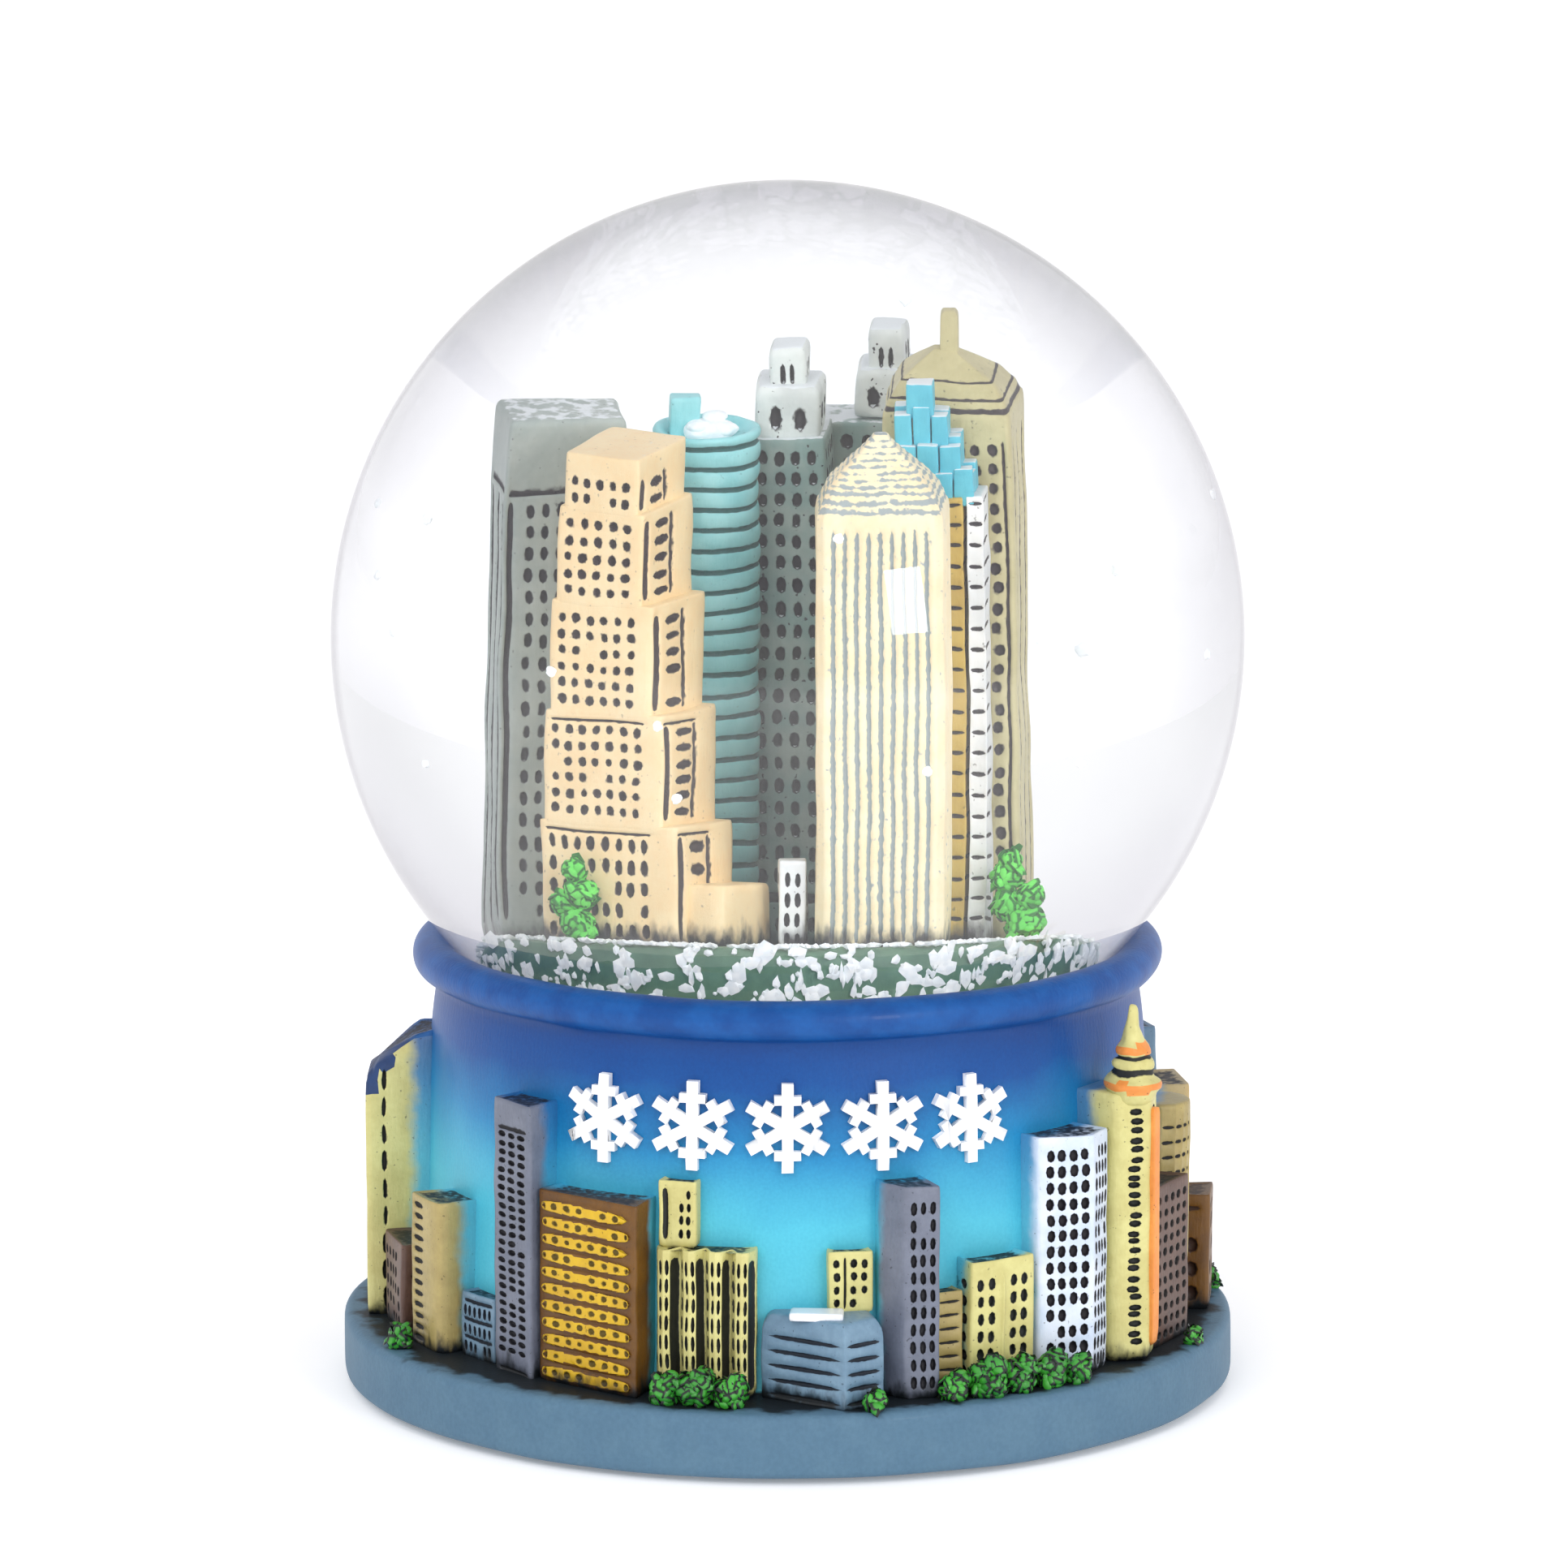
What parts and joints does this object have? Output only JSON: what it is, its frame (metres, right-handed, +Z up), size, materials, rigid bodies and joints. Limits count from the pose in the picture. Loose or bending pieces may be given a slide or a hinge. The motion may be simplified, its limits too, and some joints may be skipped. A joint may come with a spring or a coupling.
{
  "type": "water globe",
  "caption": "Water globe with a miniature city skyline and loose snow under glass, on a round drum base with a relief skyline standing on its ledge.",
  "frame": {"origin": "centre of the base pad's underside, on the globe's axis", "axes": "+Z up along the globe's axis, -Y towards the front, +X to the right as seen from the front"},
  "size_m": [0.065, 0.065, 0.0861],
  "materials": {
    "drum_paint": "matte",
    "pad_foam": "matte",
    "stopper_rubber": "satin",
    "clear_adhesive": "gloss",
    "globe_glass": "gloss",
    "water": "gloss",
    "mound_paint": "satin",
    "snow_white": "matte",
    "slate_grey": "satin",
    "peach_tan": "satin",
    "teal_green": "satin",
    "ivory": "satin",
    "khaki": "satin",
    "leaf_green": "satin",
    "cream": "satin",
    "brick_brown": "satin",
    "stone_grey": "satin",
    "slate_blue": "satin",
    "amber": "satin",
    "grid_white": "satin",
    "sandstone": "satin",
    "sage_green": "satin",
    "motif_white": "satin"
  },
  "bodies": {
    "globe": {"base_casting": "drum_paint", "base_pad": "pad_foam", "stopper": "stopper_rubber", "adhesive_ring": "clear_adhesive", "glass_globe": "globe_glass", "water_fill": "water", "skyline_mound": "mound_paint", "settled_snow": "snow_white", "slab_tower": "slate_grey", "stepped_tower": "peach_tan", "round_tower": "teal_green", "twin_crown_tower": "slate_grey", "ribbed_tower": "ivory", "cube_tower": "teal_green", "spire_tower": "khaki", "low_annex": "ivory", "left_bush": "leaf_green", "right_bush": "leaf_green", "west_tower": "cream", "brown_block": "brick_brown", "fin_tower": "khaki", "low_wing": "slate_blue", "tall_slab": "stone_grey", "amber_block": "amber", "lobed_block": "cream", "cream_turret": "cream", "terraced_hall": "slate_blue", "cream_annex": "cream", "grey_tower": "stone_grey", "khaki_annex": "khaki", "cream_block": "cream", "grid_tower": "grid_white", "orange_spire": "cream", "brick_tower": "brick_brown", "round_top_tower": "khaki", "corner_shop": "amber", "rear_sand_tower": "sandstone", "rear_blue_slab": "slate_blue", "rear_brick_hall": "brick_brown", "rear_white_tower": "grid_white", "rear_stepped_tower": "sandstone", "rear_gold_block": "amber", "rear_low_hall": "slate_blue", "rear_grey_tower": "stone_grey", "rear_round_tower": "cream", "rear_green_tower": "sage_green", "rear_cream_hall": "cream", "rear_tan_tower": "khaki", "rear_side_block": "brick_brown", "front_bushes": "leaf_green", "rear_bushes": "leaf_green", "snowflake_row": "motif_white", "rear_snowflakes": "motif_white"},
    "rising_snow": {"rising_flakes": "snow_white"},
    "swirling_snow": {"swirling_flakes": "snow_white"}
  },
  "joints": [
    {"name": "snow_rise", "type": "slide", "parent": "globe", "child": "rising_snow", "axis": [0, 0, 1], "range_m": [0, 0.006], "deforming": ["water_fill"]},
    {"name": "snow_swirl", "type": "hinge", "parent": "rising_snow", "child": "swirling_snow", "pos_m": [0, 0, 0.054], "axis": [0, 0, 1], "continuous": true, "deforming": ["water_fill"]}
  ]
}
